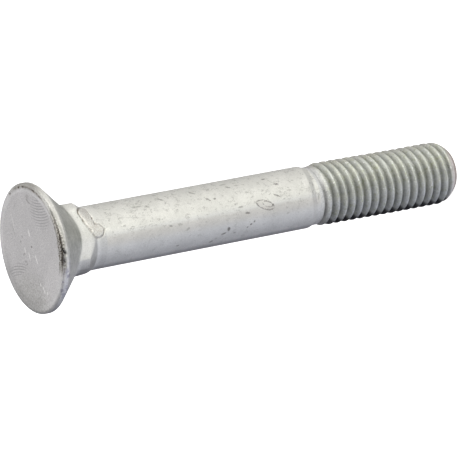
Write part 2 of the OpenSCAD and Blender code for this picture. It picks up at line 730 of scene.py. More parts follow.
@dataclass
class Thread:
    """The rolled thread and the point, as a Geometry Nodes tree. Millimetres, degrees.

    What it shares with the blank has no default: the bolt's length, the band's radius, the height
    at which the two are joined, and the number of sides there.
    """

    bolt_length: float
    band_radius: float
    join_height: float
    sides: int
    pitch: float = 1.75
    crest_radius: float = 5.95
    depth: float = 1.04
    length: float = 30.95
    fade_turns: float = 0.46
    crest_length: float = 30.1
    crest_fade: float = 0.86
    crest_angle: float = -50.0
    point_radius: float = 4.45
    point_length: float = 2.9
    nose_power: float = 1.95
    start_height: float = 0.9
    start_rise: float = 1.6
    crest_power: float = 1.7
    root_rounding: float = 0.1
    root_level: float = 0.95
    rows_per_turn: int = 12
    turns_below: int = 2
    merge_distance: float = 0.002
    # The zinc's skin is flatter on the thread than on the blank
    skin: float = 0.035
    skin_on_thread: float = 0.35
    skin_fade: float = 1.5
    skin_scale: float = 1100.0
    # The threaded end leans to one side: it starts at the first height and is full at the second
    lean: float = 0.16
    lean_azimuth: float = 166.0
    lean_heights: Span = (27.0, 10.0)
    # The last of the point leans less
    point_lean: float = 0.4
    point_lean_height: float = 3.5

    def inputs(self) -> dict[str, tuple[str, float]]:
        """The tree's named inputs.

        Returns:
            Their socket types and values, with lengths in metres, by name.
        """
        sizes = {
            "Pitch": self.pitch,
            "Crest Radius": self.crest_radius,
            "Thread Depth": self.depth,
            "Thread Length": self.length,
            "Crest Length": self.crest_length,
            "Join Height": self.join_height,
            "Band Radius": self.band_radius,
            "Point Radius": self.point_radius,
            "Point Length": self.point_length,
            "Start Height": self.start_height,
            "Start Rise": self.start_rise,
            "Skin Height": self.skin,
            "Lean": self.lean,
            "Length": self.bolt_length,
        }
        floats = {
            "Fade Turns": self.fade_turns,
            "Crest Fade": self.crest_fade,
            "Crest Turn": self.crest_angle / 360.0,
            "Crest Power": self.crest_power,
            "Nose Power": self.nose_power,
            "Root Level": self.root_level,
            "Root Rounding": self.root_rounding,
            "Skin Scale": self.skin_scale,
        }
        whole = {
            "Sides": self.sides,
            "Rows per Turn": self.rows_per_turn,
            "Turns": math.ceil(self.join_height / self.pitch) + self.turns_below + 1,
        }
        table = {name: ("NodeSocketFloat", value * MM) for name, value in sizes.items()}
        table |= {name: ("NodeSocketFloat", value) for name, value in floats.items()}
        return table | {name: ("NodeSocketInt", value) for name, value in whole.items()}

    def tree(self, finishes: list["Zinc"]) -> bpy.types.NodeTree:
        """Builds the tree that rolls the thread onto a blank.

        Args:
            finishes: the bolt's finishes, from the face to the point.

        Returns:
            The node tree, with its inputs' values as defaults.
        """
        tree = bpy.data.node_groups.new("rolled_thread", "GeometryNodeTree")
        sockets = tree.interface
        for way in ("INPUT", "OUTPUT"):
            sockets.new_socket(name="Geometry", in_out=way, socket_type="NodeSocketGeometry")
        for name, (kind, value) in self.inputs().items():
            sockets.new_socket(name=name, in_out="INPUT", socket_type=kind).default_value = value
        graph = Graph(tree)
        entry = tree.nodes.new("NodeGroupInput")
        given = {s.name: Value(graph, s) for s in entry.outputs if s.name}

        whole = self.joined(graph, given, self.helix(graph, given))
        dressed = self.dressed(graph, given, self.settled(graph, given, whole), finishes)
        leave = tree.nodes.new("NodeGroupOutput")
        tree.links.new(dressed.socket, leave.inputs[0])
        return tree

    def helix(self, graph: Graph, given: Given) -> Value:
        """Bends a sheet of rows along the helix into the thread.

        Args:
            graph: the tree.
            given: its named inputs.

        Returns:
            The thread from the point to the band, with the form's depth as an attribute.
        """
        rows = given["Rows per Turn"] * given["Turns"] + 1
        sheet = graph.node(
            "GeometryNodeMeshGrid",
            None,
            {"Size X": 1.0, "Size Y": 1.0, "Vertices X": rows, "Vertices Y": given["Sides"] + 1},
        )
        # x counts the turns and y is the share of one turn. Rows below the point are pressed onto it
        x, y, _ = graph.split(graph.node("GeometryNodeInputPosition"))
        turns = (x + 0.5) * given["Turns"]
        share = y + 0.5
        z = given["Pitch"] * (turns + share - self.turns_below - given["Crest Turn"])
        z = z.math("MAXIMUM", 0.0).math("MINIMUM", given["Join Height"])

        # Depth of the form: the zinc makes the crest broad and round and the root narrow. It
        # grows from the point on. At the band the crests end before the roots do
        from_crest = ((turns + 0.5).math("FRACT") - 0.5).math("ABSOLUTE") * 2.0
        form = from_crest ** given["Crest Power"]
        form = form.math("SMOOTH_MIN", given["Root Level"], given["Root Rounding"])
        form = form * ((z - given["Start Height"]) / given["Start Rise"]).clipped()
        cut = self.fade(given, z, "Thread Length", "Fade Turns")
        rise = self.fade(given, z, "Crest Length", "Crest Fade")
        over = given["Crest Radius"] - given["Thread Depth"] * form - given["Band Radius"]
        radius = given["Band Radius"] + over.math("MAXIMUM", 0.0) * rise
        radius = radius + over.math("MINIMUM", 0.0) * cut
        taper = 1.0 - (z / given["Point Length"]).math("MINIMUM", 1.0)
        taken = (given["Crest Radius"] - given["Point Radius"]) * taper ** given["Nose Power"]
        radius = radius.math("MINIMUM", given["Crest Radius"] - taken)

        sheet = graph.node(
            "GeometryNodeStoreNamedAttribute",
            {"data_type": "FLOAT", "domain": "POINT"},
            {"Geometry": sheet, "Name": Zone.ROOT.value, "Value": form * cut},
        )
        turn = share * math.tau
        rolled = graph.join(turn.math("COSINE") * radius, turn.math("SINE") * radius, z)
        inputs = {"Geometry": sheet, "Position": rolled}
        sheet = graph.node("GeometryNodeSetPosition", None, inputs)
        return graph.node("GeometryNodeFlipFaces", None, {"Mesh": sheet})

    def joined(self, graph: Graph, given: Given, thread: Value) -> Value:
        """Closes the shell.

        Args:
            graph: the tree.
            given: its named inputs, of which one is the blank.
            thread: the rolled sheet.

        Returns:
            Blank, thread and the flat of the point as one closed mesh.
        """
        flat = graph.node(
            "GeometryNodeMeshCircle",
            {"fill_type": "TRIANGLE_FAN"},
            {"Vertices": given["Sides"], "Radius": given["Point Radius"]},
        )
        flat = graph.node("GeometryNodeFlipFaces", None, {"Mesh": flat})
        whole = graph.node("GeometryNodeJoinGeometry")
        for part in (given["Geometry"], thread, flat):
            graph.tree.links.new(part.socket, whole.socket.node.inputs[0])
        inputs = {"Geometry": whole, "Distance": self.merge_distance * MM}
        return graph.node("GeometryNodeMergeByDistance", None, inputs)

    def settled(self, graph: Graph, given: Given, whole: Value) -> Value:
        """Gives the zinc its uneven skin, only ever inwards, and leans the threaded end.

        Args:
            graph: the tree.
            given: its named inputs.
            whole: the closed bolt.

        Returns:
            The bolt in its last form, shaded smooth.
        """
        place = graph.node("GeometryNodeInputPosition")
        height = (graph.noise(place, given["Skin Scale"], 3.0, 0.55) - 1.0) * given["Skin Height"]
        low = graph.split(place)[2]
        ends = (self.join_height * MM, (self.length - self.skin_fade) * MM)
        coat = self.skin_on_thread + low.smooth(*ends) * (1.0 - self.skin_on_thread)
        skin = graph.scaled(graph.node("GeometryNodeInputNormal"), height * coat)
        lean = low.smooth(*(z * MM for z in self.lean_heights)) * given["Lean"]
        upright = low.smooth(0.0, self.point_lean_height * MM) * (1.0 - self.point_lean)
        lean = lean * (self.point_lean + upright)
        towards = math.radians(self.lean_azimuth)
        aside = graph.join(lean * math.cos(towards), lean * math.sin(towards), 0.0)
        inputs = {"Geometry": whole, "Offset": graph.total(skin, aside)}
        moved = graph.node("GeometryNodeSetPosition", None, inputs)
        return graph.node("GeometryNodeSetShadeSmooth", None, {"Geometry": moved})

    @staticmethod
    def dressed(graph: Graph, given: Given, bolt: Value, finishes: list["Zinc"]) -> Value:
        """Gives each stretch of the bolt its finish.

        Args:
            graph: the tree.
            given: its named inputs.
            bolt: the bolt in its last form.
            finishes: the bolt's finishes, from the face to the point.

        Returns:
            The bolt with its materials.
        """
        dressed = graph.node("GeometryNodeRealizeInstances", None, {"Geometry": bolt})
        x, y, z = graph.split(graph.node("GeometryNodeInputPosition"))
        reach = (x * x + y * y) ** 0.5 + given["Length"] - z
        for finish in finishes:
            inputs = {
                "Geometry": dressed,
                "Selection": reach.compare(finish.starts * MM),
                "Material": finish.material(),
            }
            dressed = graph.node("GeometryNodeSetMaterial", None, inputs)
        return dressed

    @staticmethod
    def fade(given: Given, z: Value, end: str, turns: str) -> Value:
        """1 down from the end of the thread, 0 above it, over the turns of two named inputs."""
        return ((given[end] - z) / (given[turns] * given["Pitch"])).clipped()

    def roll(self, blank: bpy.types.Object, finishes: list["Zinc"]) -> bpy.types.Object:
        """Rolls the thread onto the blank and keeps the result as a plain mesh.

        Args:
            blank: the open shell, which is used up.
            finishes: the bolt's finishes, from the face to the point.

        Returns:
            The finished bolt.
        """
        tree = self.tree(finishes)
        modifier = blank.modifiers.new("thread", "NODES")
        modifier.node_group = tree
        values = self.inputs()
        for item in tree.interface.items_tree:
            if item.in_out == "INPUT" and item.name in values:
                modifier[item.identifier] = values[item.name][1]
        evaluated = blank.evaluated_get(bpy.context.evaluated_depsgraph_get())
        mesh = bpy.data.meshes.new_from_object(evaluated)
        mesh.name = PIECE
        blank.modifiers.remove(modifier)
        bpy.data.objects.remove(blank)
        return place_object(PIECE, mesh)


# ---------------------------------------------------------------- the finish


@dataclass(frozen=True)
class Mark:
    """A small flaw, as an ellipse on flat coordinates of a surface, in millimetres.

    On the face these are x and y. On the shank they are the azimuth, given in degrees, and the
    depth under the face.
    """

    at: tuple[float, float]
    size: tuple[float, float]
    tilt: float = 0.0
    strength: float = 1.0
    # Squares of the distance from the centre, in half sizes, where it ends and where it is full
    edge: ClassVar[Span] = (2.1, 0.3)

    def share(self, ground: Value, per_unit: float) -> Value:
        """How far a place lies in the mark.

        Args:
            ground: the flat coordinates, with 1 as their third.
            per_unit: millimetres to one unit of the first coordinate of `at`.

        Returns:
            The mark's strength inside, 0 outside.
        """
        x, y = self.at[0] * per_unit, self.at[1]
        cos, sin = math.cos(math.radians(self.tilt)), math.sin(math.radians(self.tilt))
        axes = ((cos, sin, self.size[0]), (-sin, cos, self.size[1]))
        parts = [
            ground.dot((2 * a / size, 2 * b / size, -2 * (a * x + b * y) / size))
            for a, b, size in axes
        ]
        square = parts[0] * parts[0] + parts[1] * parts[1]
        return square.smooth(*self.edge, self.strength)


def strongest(marks: tuple[Mark, ...], ground: Value, per_unit: float = 1.0) -> Value:
    """The strongest of several marks at each place.

    Args:
        marks: the marks.
        ground: flat coordinates of their surface, in mm, with 1 as their third.
        per_unit: millimetres to one unit of the marks' first coordinate.

    Returns:
        Their share.
    """
    total = marks[0].share(ground, per_unit)
    for mark in marks[1:]:
        total = total.math("MAXIMUM", mark.share(ground, per_unit))
    return total


@dataclass(frozen=True)
class Side:
    """One side of the bolt: its azimuth, and the cosines of the angle to it at its soft edge."""

    azimuth: float
    start: float
    full: float


@dataclass
class Site:
    """Where a point of the bolt is, in millimetres and degrees round the axis."""

    graph: Graph
    length: float
    place: Value = field(init=False)
    x: Value = field(init=False)
    y: Value = field(init=False)
    depth: Value = field(init=False)
    turn: Value = field(init=False)
    reach: Value = field(init=False)

    def __post_init__(self) -> None:
        """Works the coordinates out."""
        graph = self.graph
        metres = graph.node("ShaderNodeTexCoord", None, None, "Object")
        self.place = graph.scaled(metres, 1.0 / MM)
        self.x, self.y, height = graph.split(self.place)
        self.depth = self.length - height
        self.turn = self.y.math("ARCTAN2", self.x)
        # Grows all the way from the centre of the face over the rim and down to the point
        self.reach = (self.x * self.x + self.y * self.y) ** 0.5 + self.depth

    @property
    def azimuth(self) -> Value:
        """Degrees round the axis."""
        return self.turn * (180.0 / math.pi)

    def towards(self, azimuth: float) -> Value:
        """1 on the side at an angle round the axis, -1 on the side away from it."""
        turn = math.radians(azimuth)
        side = self.place.dot((math.cos(turn), math.sin(turn), 0.0))
        return side / (self.reach - self.depth)

    def on(self, side: Side) -> Value:
        """Share of one side of the bolt."""
        return self.towards(side.azimuth).smooth(side.start, side.full)

    def along(self, stretch: Stretch) -> Value:
        """Share of a stretch of azimuths."""
        turn = self.azimuth
        return turn.smooth(stretch.start, stretch.full) * turn.smooth(stretch.end, stretch.fading)

    def noise(self, scale: float, detail: float = 2.0, rough: float = 0.5) -> Value:
        """Noise from 0 to 1 over the bolt, with so many cells to a millimetre."""
        return self.graph.noise(self.place, scale, detail, rough)

    def zone(self, zone: Zone) -> Value:
        """Reads one of the mesh's zones."""
        settings = {"attribute_name": zone.value, "attribute_type": "GEOMETRY"}
        return self.graph.node("ShaderNodeAttribute", settings, None, "Fac")

    def uneven(self, size: float) -> Value:
        """A small shift that makes edges ragged, in mm to either side."""
        return (self.noise(3.1) - 0.5) * size

    def face(self) -> Value:
        """Flat coordinates of the face."""
        shift = self.uneven(0.3)
        return self.graph.join(self.x + shift, self.y - shift, 1.0)

    def unrolled(self, radius: float) -> Value:
        """Flat coordinates of the shank: round it, down it."""
        shift = self.uneven(0.35)
        return self.graph.join(self.turn * radius + shift, self.depth + shift, 1.0)


@dataclass
class Coat:
    """The finish while it is built up: its colour, its roughness and its height in mm."""

    graph: Graph
    colour: Value
    roughness: Value
    height: Value

    def paint(self, share: Term, colour: Term) -> None:
        """Blends a colour in."""
        self.colour = self.graph.blend(share, self.colour, colour)

    def shade(self, share: Term, tint: Term) -> None:
        """Multiplies the colour by a tint, or by a grey where the tint is one number."""
        tint = (tint, tint, tint) if isinstance(tint, float) else tint
        self.colour = self.graph.blend(share, self.colour, tint)
        self.colour.socket.node.blend_type = "MULTIPLY"

    def sink(self, share: Value, depth: float) -> None:
        """Lowers the surface."""
        self.height = self.height - share * depth


@dataclass(frozen=True)
class Zinc:
    """Dull hot-dip zinc, which is mottled and finely pored. Colours are linear.

    Each kind of surface of the bolt adds its own layers. Spans are of a Site's reach where
    nothing else is said, and run from where a layer starts to where it is full.
    """

    length: float
    shank: Shank
    bare: Colour = (0.56, 0.565, 0.55)
    cloud: Colour = (0.69, 0.695, 0.68)
    grime: Colour = (0.13, 0.105, 0.07)
    scar: Colour = (0.16, 0.155, 0.14)
    # Painted light: a yellower tint on the side that gets the most light
    painted_light_yellow: Colour = (1.05, 1.045, 1.0)
    painted_light_yellow_side: Side = Side(SUNNY, 0.42, 0.72)
    painted_light_yellow_from: Span = (11.0, 11.6)
    # Painted shade: a darker grey on a side that gets little light
    painted_shade_grey: Colour = (0.66, 0.66, 0.68)
    painted_shade_grey_side: Side = Side(SHADY, 0.93, 1.0)
    painted_shade_grey_from: Span = (12.0, 12.5)
    stain: Mark = Mark((-10.5, 5.6), (12.5, 12.8))
    stained: Colour = (0.79, 0.795, 0.76)
    # A darker band near the edge of the face on one side
    darker_edge_side: Side = Side(128.0, 0.6, 0.9)
    darker_edge_from: Span = (8.4, 11.3)
    face_end: Span = (12.2, 11.6)
    pore: float = 0.45
    graininess: float = 0.14
    porousness: float = 0.6
    metallic: float = 0.55
    roughness: float = 0.5
    # Where the surface starts, as a Site's reach
    starts: ClassVar[float] = 0.0

    def material(self) -> bpy.types.Material:
        """Builds the finish.

        Returns:
            The material.
        """
        material = bpy.data.materials.new(type(self).__name__.lower())
        material.use_nodes = True
        material.node_tree.nodes.clear()
        graph = Graph(material.node_tree)
        site = Site(graph, self.length)
        coat = self.skin(site)
        self.dress(site, coat)
        relief = {"Strength": 1.0, "Distance": MM, "Height": coat.height}
        surface = {
            "Base Color": coat.colour,
            "Metallic": self.metallic,
            "Roughness": coat.roughness,
            "Normal": graph.node("ShaderNodeBump", None, relief),
        }
        graph.finish(surface)
        return material

    def skin(self, site: Site) -> Coat:
        """The bare zinc: clouds, a grain and fine dark pores.

        Args:
            site: where a point is.

        Returns:
            The coat to start from.
        """
        graph = site.graph
        cloud = site.noise(0.3, 3.0, 0.6).smooth(0.38, 0.68)
        blotch = site.noise(1.3, 3.0, 0.6)
        grain = site.noise(4.5, 2.0, 0.6)
        share = cloud * 0.35 + blotch * 0.6
        coat = Coat(
            graph,
            graph.blend(share, self.bare, self.cloud),
            self.roughness + (blotch - 0.5) * 0.12,
            blotch * 0.04 + grain * 0.03,
        )
        coat.shade(grain.smooth(0.68, 0.32) * self.graininess, 0.0)
        pores = site.noise(2.7, 3.0, 0.6).smooth(0.62, 0.74)
        coat.shade(pores * self.porousness, self.pore)
        return coat

    def soil(self, site: Site, coat: Coat) -> None:
        """The face's mottling, the stain on one side of it and a darker band near its edge on
        another.

        Args:
            site: where a point is.
            coat: the finish so far, which is added to.
        """
        mottle = site.noise(2.2, 3.0, 0.7).smooth(0.4, 0.62)
        flat = site.reach.smooth(*self.face_end)
        stain = self.stain.share(site.face(), 1.0) * flat * (0.3 + mottle * 0.7)
        coat.shade(stain, self.stained)
        coat.shade(flat * mottle * 0.1, 0.0)
        # Darker near the edge of the face on one side
        edge = site.reach.smooth(*self.darker_edge_from) * site.on(self.darker_edge_side)
        coat.shade(edge * flat * 0.27, 0.0)

    def paint_light_and_shade(self, site: Site, coat: Coat) -> None:
        """Painted light and shade: the sunny side is painted a little yellower, a shady one greyer.

        Args:
            site: where a point is.
            coat: the finish so far, which is added to.
        """
        painted_light_yellow = site.on(self.painted_light_yellow_side) * site.reach.smooth(*self.painted_light_yellow_from)
        coat.shade(painted_light_yellow, self.painted_light_yellow)
        painted_shade_grey = site.on(self.painted_shade_grey_side) * site.reach.smooth(*self.painted_shade_grey_from)
        coat.shade(painted_shade_grey, self.painted_shade_grey)

    def dress(self, site: Site, coat: Coat) -> None:
        """Adds the surface's own layers."""
        raise NotImplementedError


@dataclass(frozen=True)
class FaceZinc(Zinc):
    """The flat of the head: turning rings, two sets of arcs, scars, nicks, a stain and a painted
    highlight.

    A set of arcs is given by the x and y of its centre and the radius of one of its grooves.
    """

    bare: Colour = (0.64, 0.63, 0.618)
    cloud: Colour = (0.755, 0.742, 0.73)
    graininess: float = 0.22
    turning_pitch: float = 0.28
    arc_pitch: float = 0.51
    arc_sharpness: float = 2.5
    bright: Colour = (0.88, 0.87, 0.84)
    scratch: Colour = (0.2, 0.2, 0.22)
    near_arcs: tuple[float, float, float] = (15.0, -9.6, 8.2)
    far_arcs: tuple[float, float, float] = (-15.0, 9.6, 13.65)
    near_patch: Mark = Mark((5.2, -7.2), (5.6, 6.0), -10)
    far_patch: Mark = Mark((-2.3, 6.7), (1.9, 6.5), -4, 0.9)
    # Painted highlight: a brighter patch near the edge of the face
    painted_sheen: Mark = Mark((-8.0, -4.8), (9.5, 5.0), -50)
    scars: tuple[Mark, ...] = (
        Mark((8.0, -3.6), (1.5, 0.22), 38, 0.8),
        Mark((8.6, 1.75), (0.8, 0.18), -30, 0.4),
        Mark((4.6, 4.6), (2.2, 0.3), 0, 0.25),
        Mark((2.75, 2.0), (0.5, 0.5), 0, 0.35),
        Mark((0.26, -0.51), (0.3, 0.42), 0, 0.9),
        Mark((-1.65, 3.05), (0.3, 0.4), 0, 0.8),
        Mark((-2.22, 2.83), (0.28, 0.4), 0, 0.7),
        Mark((-0.33, 3.02), (0.5, 0.6), 0, 0.35),
        Mark((2.1, 3.02), (0.5, 0.6), 0, 0.35),
        Mark((8.8, -3.75), (0.9, 1.0), 0, 0.3),
    )
    nicks: tuple[Mark, ...] = (
        Mark((6.0, 4.1), (3.4, 0.3), -4, 0.35),
        Mark((2.7, -0.9), (1.3, 0.45), 0, 0.9),
        Mark((0.3, 2.2), (0.9, 0.26), -4),
        Mark((-1.1, 1.2), (1.45, 0.3), -10),
        Mark((-2.35, -1.1), (1.6, 0.3), 5),
        Mark((-6.8, -0.2), (0.6, 0.35)),
        Mark((-7.6, -0.8), (0.7, 0.4)),
        Mark((-8.3, -1.0), (0.7, 0.35)),
        Mark((-8.8, -1.9), (0.6, 0.35)),
    )

    def dress(self, site: Site, coat: Coat) -> None:
        """Adds the face's layers.

        Args:
            site: where a point is.
            coat: the finish so far, which is added to.
        """
        rings = (site.reach * (math.tau / self.turning_pitch)).math("COSINE") * 0.5 + 0.5
        coat.shade(rings * 0.08, 0.0)
        ground = site.face()
        near = self.arcs(site, self.near_arcs) * self.near_patch.share(ground, 1.0)
        far = self.arcs(site, self.far_arcs) * self.far_patch.share(ground, 1.0)
        arcs = near.math("MAXIMUM", far)
        coat.shade(arcs * 0.42, self.scratch)
        coat.sink(arcs, 0.012)
        self.soil(site, coat)
        # Painted highlight near the edge of the face
        coat.shade(self.painted_sheen.share(ground, 1.0), 1.1)
        scars = strongest(self.scars, ground)
        coat.paint(scars * 0.85, self.scar)
        coat.sink(scars, 0.04)
        coat.paint(strongest(self.nicks, ground) * 0.7, self.bright)

    def arcs(self, site: Site, arcs: tuple[float, float, float]) -> Value:
        """One set of fine grooves.

        Args:
            site: where a point is.
            arcs: the set.

        Returns:
            1 along the grooves, 0 between them.
        """
        x, y = site.x - arcs[0], site.y - arcs[1]
        phase = ((x * x + y * y) ** 0.5 - arcs[2]) * (math.tau / self.arc_pitch)
        return (phase.math("COSINE") * 0.5 + 0.5) ** self.arc_sharpness


@dataclass(frozen=True)
class NeckZinc(Zinc):
    """The worn rim, the seat with painted shade and the neck with the tongue that is folded over it.
    """

    starts: ClassVar[float] = 10.4
    # Painted light on the sunny side, weaker here
    painted_light_yellow: Colour = (1.0, 0.995, 0.955)
    face_tint: Colour = (1.135, 1.115, 1.12)
    soot: Colour = (0.012, 0.012, 0.014)
    blue: Colour = (0.30, 0.295, 0.36)
    lavender: Colour = (0.74, 0.73, 0.80)
    dark: Colour = (0.09, 0.085, 0.09)
    dirt: Colour = (0.07, 0.06, 0.05)
    scraped: Colour = (0.46, 0.44, 0.39)
    cream: Colour = (0.74, 0.735, 0.695)
    brown: Colour = (0.44, 0.40, 0.34)
    pale: Colour = (0.86, 0.85, 0.79)
    # Grey of the seat, which also carries its painted shade
    seat_tone_and_shade: Colour = (0.57, 0.58, 0.56)
    smudged: Colour = (0.42, 0.4, 0.38)
    flecked: Colour = (0.5, 0.5, 0.48)
    face_tint_end: Span = (11.9, 11.3)
    land_from: Span = (11.5, 11.9)
    smudge_from: Span = (10.7, 11.4)
    bright_from: Span = (11.4, 11.75)
    seat_end: Span = (13.6, 13.3)
    square_from: Span = (13.4, 14.2)
    # Reach of the scraped band's edges, of the seam in it and of the pits beyond it
    band_edges: Span = (11.15, 11.6)
    seam_at: float = 11.8
    pits_at: float = 11.4
    # A dark patch: its azimuth and reach, and half its size in each
    patch_at: tuple[float, float] = (-113.5, 11.95)
    patch_half: tuple[float, float] = (3.5, 0.36)
    # Depths
    smudge_end: Span = (1.2, 0.3)
    land_end: Span = (1.95, 1.5)
    runout_from: Span = (10.25, 10.55)
    runout_end: Span = (11.6, 10.7)
    # Sides of the square neck where light and shade are painted, and the side where its tongue is
    # painted paler as painted light
    painted_light_corner_side: Side = Side(SUNNY, 0.88, 1.0)
    lit_side: Side = Side(-98.0, 0.8, 0.97)
    shadow_side: Side = Side(-150.0, 0.2, 0.8)
    painted_shade_under_side: Side = Side(-160.0, 0.86, 0.96)
    tongue_painted_light_side: Side = Side(SUNNY, 0.55, 0.85)
    # Stretches of the rim
    smudge_along: Stretch = Stretch(-54, -40, -2, 16)
    bright_along: Stretch = Stretch(-116, -92, -44, -30)
    flecked_along: Stretch = Stretch(-116, -88, -48, -24)
    blotched_along: Stretch = Stretch(-170, -140, -122, -110)
    fold_along: Stretch = Stretch(-132, -116, -70, -36)
    seam_along: Stretch = Stretch(-122, -114, -98, -84)
    pits_along: Stretch = Stretch(-62, -54, -6, 8)

    def dress(self, site: Site, coat: Coat) -> None:
        """Adds the rim's, the seat's and the neck's layers.

        Args:
            site: where a point is.
            coat: the finish so far, which is added to.
        """
        ragged = site.noise(1.7, 3.0, 0.65)
        speckle = site.noise(3.4, 2.0, 0.6)
        # Painted light on the sunny side and painted shade on the shady side
        self.paint_light_and_shade(site, coat)
        self.soil(site, coat)
        coat.shade(site.reach.smooth(*self.face_tint_end), self.face_tint)
        square = site.reach.smooth(*self.square_from)
        # Painted light near the corner on the sunny side
        coat.shade(site.on(self.painted_light_corner_side) * square, 1.14)
        runout = site.depth.smooth(*self.runout_from)
        # Painted light on the flats
        lit = site.on(self.lit_side) * square * (1.0 - runout)
        coat.shade(lit, 1.07)
        # Painted shade on the shadow side, and painted light where the corner runs out
        shadow = site.on(self.shadow_side) * square
        coat.shade(shadow * (0.13 - runout * 0.05), 0.0)
        coat.shade(shadow * runout * site.depth.smooth(*self.runout_end), 1.22)
        # Painted shade under the lower corner, streaked
        under = site.on(self.painted_shade_under_side) * square * (1.0 - runout)
        coat.shade(under * (0.1 + ragged * 0.22), 0.0)
        self.seat(site, coat, ragged)
        self.land(site, coat, ragged, speckle)
        self.seam(site, coat, ragged, speckle)
        inside = site.zone(Zone.LAP)
        # Painted light: the tongue is painted paler on the sunny side
        coat.paint(inside * site.on(self.tongue_painted_light_side) * 0.45, self.pale)
        coat.paint(inside * (ragged - 0.5).bump(0.045) * 0.5, self.brown)
        coat.sink(inside * speckle, 0.06)
        coat.paint(site.zone(Zone.GRIME) * 0.9, self.grime)
        coat.paint(site.zone(Zone.SOOT), self.soot)

    def seat(self, site: Site, coat: Coat, ragged: Value) -> None:
        """The countersunk seat: greyer and mottled, with painted shade on the sunny side and near
        the neck.

        Args:
            site: where a point is.
            coat: the finish so far, which is added to.
            ragged: an uneven value from 0 to 1.
        """
        below_land = 1.0 - (site.depth + (ragged - 0.5)).smooth(*self.land_end)
        cone = site.reach.smooth(*self.seat_end) * below_land
        side = site.towards(SUNNY)
        blotch = site.noise(0.7, 2.0, 0.6) - 0.5
        # Painted shade by side and towards the neck, with real mottling
        seat_tone_and_shade = side.smooth(-0.35, 0.75) * 0.8 - side.smooth(0.82, 0.97) * 0.2
        seat_tone_and_shade = seat_tone_and_shade + (ragged - 0.5) * 1.1 + blotch * 1.1 + site.depth.smooth(3.5, 6.0) * 0.06
        coat.shade(cone * seat_tone_and_shade, self.seat_tone_and_shade)
        coat.roughness = coat.roughness + cone * 0.08

    def land(self, site: Site, coat: Coat, ragged: Value, speckle: Value) -> None:
        """The straight band of the rim: bright at first, then blotched with blue and white.

        Args:
            site: where a point is.
            coat: the finish so far, which is added to.
            ragged: an uneven value from 0 to 1.
            speckle: a finer one.
        """
        turn = site.azimuth
        above_seat = (site.depth + (ragged - 0.5)).smooth(*self.land_end)
        land = site.reach.smooth(*self.land_from) * above_seat
        smudge = site.reach.smooth(*self.smudge_from) * site.depth.smooth(*self.smudge_end)
        smudge = smudge * site.along(self.smudge_along)
        coat.shade(smudge * (0.35 + ragged * 0.6), self.smudged)
        inner = site.reach + turn.smooth(-60, -104) * -0.95 + (speckle - 0.5) * 0.8
        bright = inner.smooth(*self.bright_from) * above_seat * site.along(self.bright_along)
        coat.paint(bright * (0.2 + ragged * 0.6), self.cream)
        flecked = land * site.along(self.flecked_along)
        flecked = flecked * (0.3 + inner.smooth(12.5, 11.9) * 0.7)
        coat.shade(flecked * speckle.smooth(0.4, 0.56) * 0.7, self.flecked)
        dirtier = turn.smooth(-82, -72) * 0.48 + turn.smooth(-92, -100) * 0.35
        grubby = turn.smooth(-62, -70) * (0.42 + dirtier)
        coat.shade(flecked * grubby * (0.4 + ragged * 1.2), self.flecked)
        blotched = land * site.along(self.blotched_along)
        blotch = site.noise(0.9, 2.0, 0.5) + (ragged - 0.5) * 0.3
        coat.paint(blotched * 0.25, self.lavender)
        coat.paint(blotched * blotch.smooth(0.47, 0.6) * 0.7, self.blue)
        coat.paint(blotched * blotch.smooth(0.42, 0.34) * 0.6, self.cream)

    def seam(self, site: Site, coat: Coat, ragged: Value, speckle: Value) -> None:
        """The scraped edge of the face: a dashed fold, a rough band and a dark seam in it.

        Args:
            site: where a point is.
            coat: the finish so far, which is added to.
            ragged: an uneven value from 0 to 1.
            speckle: a finer one.
        """
        turn = site.azimuth
        across = site.reach + (ragged - 0.5) * 0.9
        start = turn.smooth(-60, -86)
        edge = site.along(self.fold_along)
        worn = edge * start
        inner = across - self.band_edges[0] + turn.smooth(-78, -104) * 0.6
        outer = across - self.band_edges[1] - turn.smooth(-60, -102)
        middle = site.along(self.seam_along)
        band = inner.smooth(-0.1, 0.15) * outer.smooth(0.15, -0.15) * worn
        coat.paint(band * (0.3 + speckle * 0.8), self.scraped)
        specks = speckle.smooth(0.49, 0.57) * band
        coat.paint(specks * (0.5 + middle * 0.4), self.dirt)
        coat.sink(specks, 0.06)
        fold = inner.bump(0.1) * edge * (0.5 + start * 0.5)
        coat.paint(fold * speckle.smooth(0.4, 0.52) * 0.8, self.grime)
        drift = turn.smooth(-106, -118) * 0.4
        seam = (across + drift - self.seam_at).math("ABSOLUTE") / (0.13 + middle * 0.12)
        seam = seam.smooth(1.6, 0.5) * worn * (0.3 + middle * 0.7)
        coat.paint(seam * (0.35 + speckle * 0.9), self.dirt)
        coat.sink(seam, 0.1)
        patch = (turn - self.patch_at[0]).bump(self.patch_half[0])
        patch = patch * (across - self.patch_at[1]).bump(self.patch_half[1])
        coat.paint(patch * (0.4 + speckle * 0.8), self.dark)
        pits = (across - self.pits_at).bump(0.14) * site.along(self.pits_along)
        coat.paint(pits * speckle.smooth(0.42, 0.56) * 0.8, self.grime)


